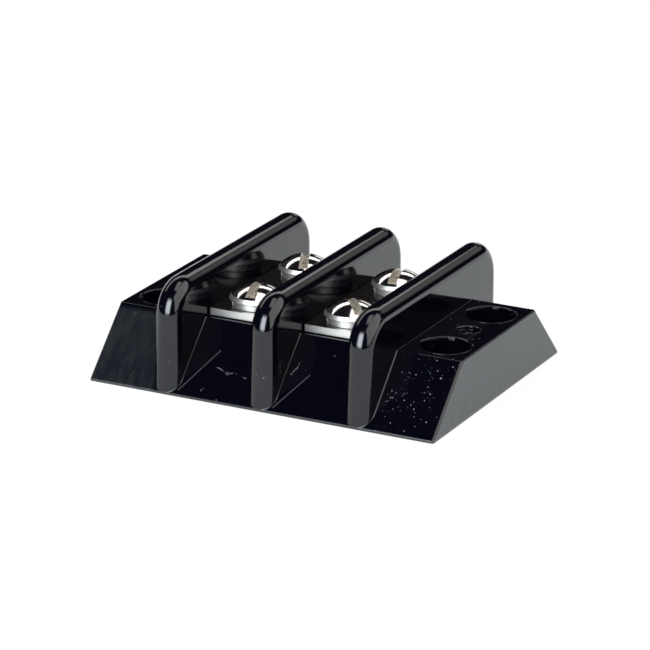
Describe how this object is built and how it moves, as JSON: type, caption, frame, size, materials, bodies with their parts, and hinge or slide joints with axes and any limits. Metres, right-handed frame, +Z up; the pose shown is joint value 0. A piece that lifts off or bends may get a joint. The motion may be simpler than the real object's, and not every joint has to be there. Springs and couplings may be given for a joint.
{
  "type": "barrier terminal strip",
  "caption": "Barrier terminal strip: a glossy black moulding with tall rounded barriers, plated links held by slotted screws, and counterbored mounting holes.",
  "frame": {"origin": "middle of the footprint, on the flat bottom", "axes": "+X along the row of poles, +Y to the back, +Z up, the way the screw heads face"},
  "size_m": [0.0628, 0.0508, 0.019],
  "materials": {
    "moulding": "glossy black, with fine scratches and dust",
    "plate": "bright nickel plate",
    "screw": "bright nickel plate",
    "washer": "bright nickel plate",
    "insert": "plain turned brass"
  },
  "bodies": {
    "block": {"base_moulding": "moulding", "terminal_plate_1": "plate", "terminal_plate_2": "plate", "threaded_insert_1_front": "insert", "threaded_insert_1_back": "insert", "threaded_insert_2_front": "insert", "threaded_insert_2_back": "insert"},
    "washer_1_front": {"lock_washer_1_front": "washer"},
    "washer_1_back": {"lock_washer_1_back": "washer"},
    "washer_2_front": {"lock_washer_2_front": "washer"},
    "washer_2_back": {"lock_washer_2_back": "washer"},
    "screw_1_front": {"terminal_screw_1_front": "screw"},
    "screw_1_back": {"terminal_screw_1_back": "screw"},
    "screw_2_front": {"terminal_screw_2_front": "screw"},
    "screw_2_back": {"terminal_screw_2_back": "screw"}
  },
  "joints": [
    {"name": "lift_1_front", "type": "slide", "parent": "block", "child": "washer_1_front", "axis": [0, 0, 1], "range_m": [0, 0.00555]},
    {"name": "turn_1_front", "type": "hinge", "parent": "washer_1_front", "child": "screw_1_front", "pos_m": [-0.00873, -0.009, 0.0133], "axis": [0, 0, 1], "range_deg": [0, 2520]},
    {"name": "lift_1_back", "type": "slide", "parent": "block", "child": "washer_1_back", "axis": [0, 0, 1], "range_m": [0, 0.00555]},
    {"name": "turn_1_back", "type": "hinge", "parent": "washer_1_back", "child": "screw_1_back", "pos_m": [-0.00873, 0.009, 0.0133], "axis": [0, 0, 1], "range_deg": [0, 2520]},
    {"name": "lift_2_front", "type": "slide", "parent": "block", "child": "washer_2_front", "axis": [0, 0, 1], "range_m": [0, 0.00555]},
    {"name": "turn_2_front", "type": "hinge", "parent": "washer_2_front", "child": "screw_2_front", "pos_m": [0.00873, -0.009, 0.0133], "axis": [0, 0, 1], "range_deg": [0, 2520]},
    {"name": "lift_2_back", "type": "slide", "parent": "block", "child": "washer_2_back", "axis": [0, 0, 1], "range_m": [0, 0.00555]},
    {"name": "turn_2_back", "type": "hinge", "parent": "washer_2_back", "child": "screw_2_back", "pos_m": [0.00873, 0.009, 0.0133], "axis": [0, 0, 1], "range_deg": [0, 2520]}
  ],
  "couplings": [
    {"joint": "turn_1_front", "follows": "lift_1_front", "rad_per_m": 7915.9},
    {"joint": "turn_1_back", "follows": "lift_1_back", "rad_per_m": 7915.9},
    {"joint": "turn_2_front", "follows": "lift_2_front", "rad_per_m": 7915.9},
    {"joint": "turn_2_back", "follows": "lift_2_back", "rad_per_m": 7915.9}
  ]
}
